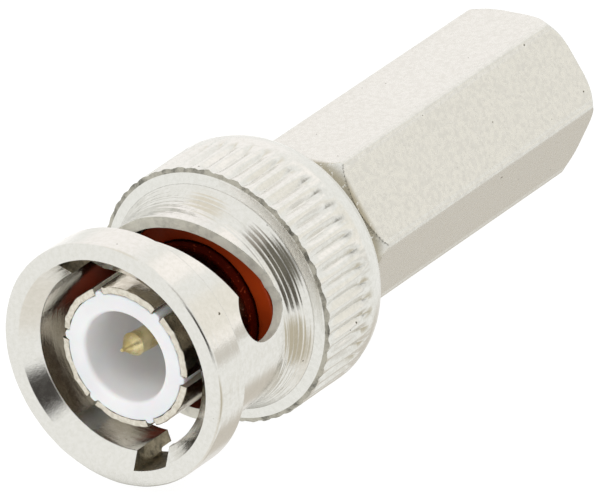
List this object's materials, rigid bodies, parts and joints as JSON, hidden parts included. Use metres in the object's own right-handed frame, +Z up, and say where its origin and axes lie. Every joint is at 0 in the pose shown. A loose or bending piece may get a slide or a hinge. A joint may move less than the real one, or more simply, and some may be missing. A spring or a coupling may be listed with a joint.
{
  "type": "coaxial bayonet plug",
  "caption": "Bayonet coaxial cable plug: slotted knurled coupling nut that turns and floats on a split barrel contact, with centre pin, insulators, gasket and a long hexagonal cable body.",
  "frame": {"origin": "on the plug's axis, at the front face of the outer contact", "axes": "+X runs from the mating end to the cable end, +Z is up with a flat of the hexagon down, +Y completes a right-handed frame"},
  "size_m": [0.0391, 0.015, 0.015],
  "materials": {
    "nickel_nut": "bright nickel plate over turned and knurled brass",
    "nickel_contact": "bright nickel plate",
    "nickel_body": "satin nickel plate",
    "spring_steel": "rolled spring strip",
    "gold_pin": "gold plate",
    "white_insulator": "waxy white fluoropolymer",
    "red_rubber": "matte silicone"
  },
  "bodies": {
    "body": {"outer_contact": "nickel_contact", "insulator": "white_insulator", "center_pin": "gold_pin", "rear_insulator": "white_insulator", "gasket": "red_rubber", "wave_washer_front": "spring_steel", "wave_washer_rear": "spring_steel", "retaining_ring": "spring_steel", "hex_body": "nickel_body"},
    "thrust": {"thrust_washer": "nickel_contact"},
    "nut": {"coupling_nut": "nickel_nut"}
  },
  "joints": [
    {"name": "nut_float", "type": "slide", "parent": "body", "child": "thrust", "axis": [-1, 0, 0], "range_m": [0, 0.0006], "stiffness_N_per_m": 4000, "deforming": ["wave_washer_front", "wave_washer_rear"]},
    {"name": "nut_turn", "type": "hinge", "parent": "thrust", "child": "nut", "pos_m": [0.011, 0, 0], "axis": [1, 0, 0], "continuous": true}
  ]
}
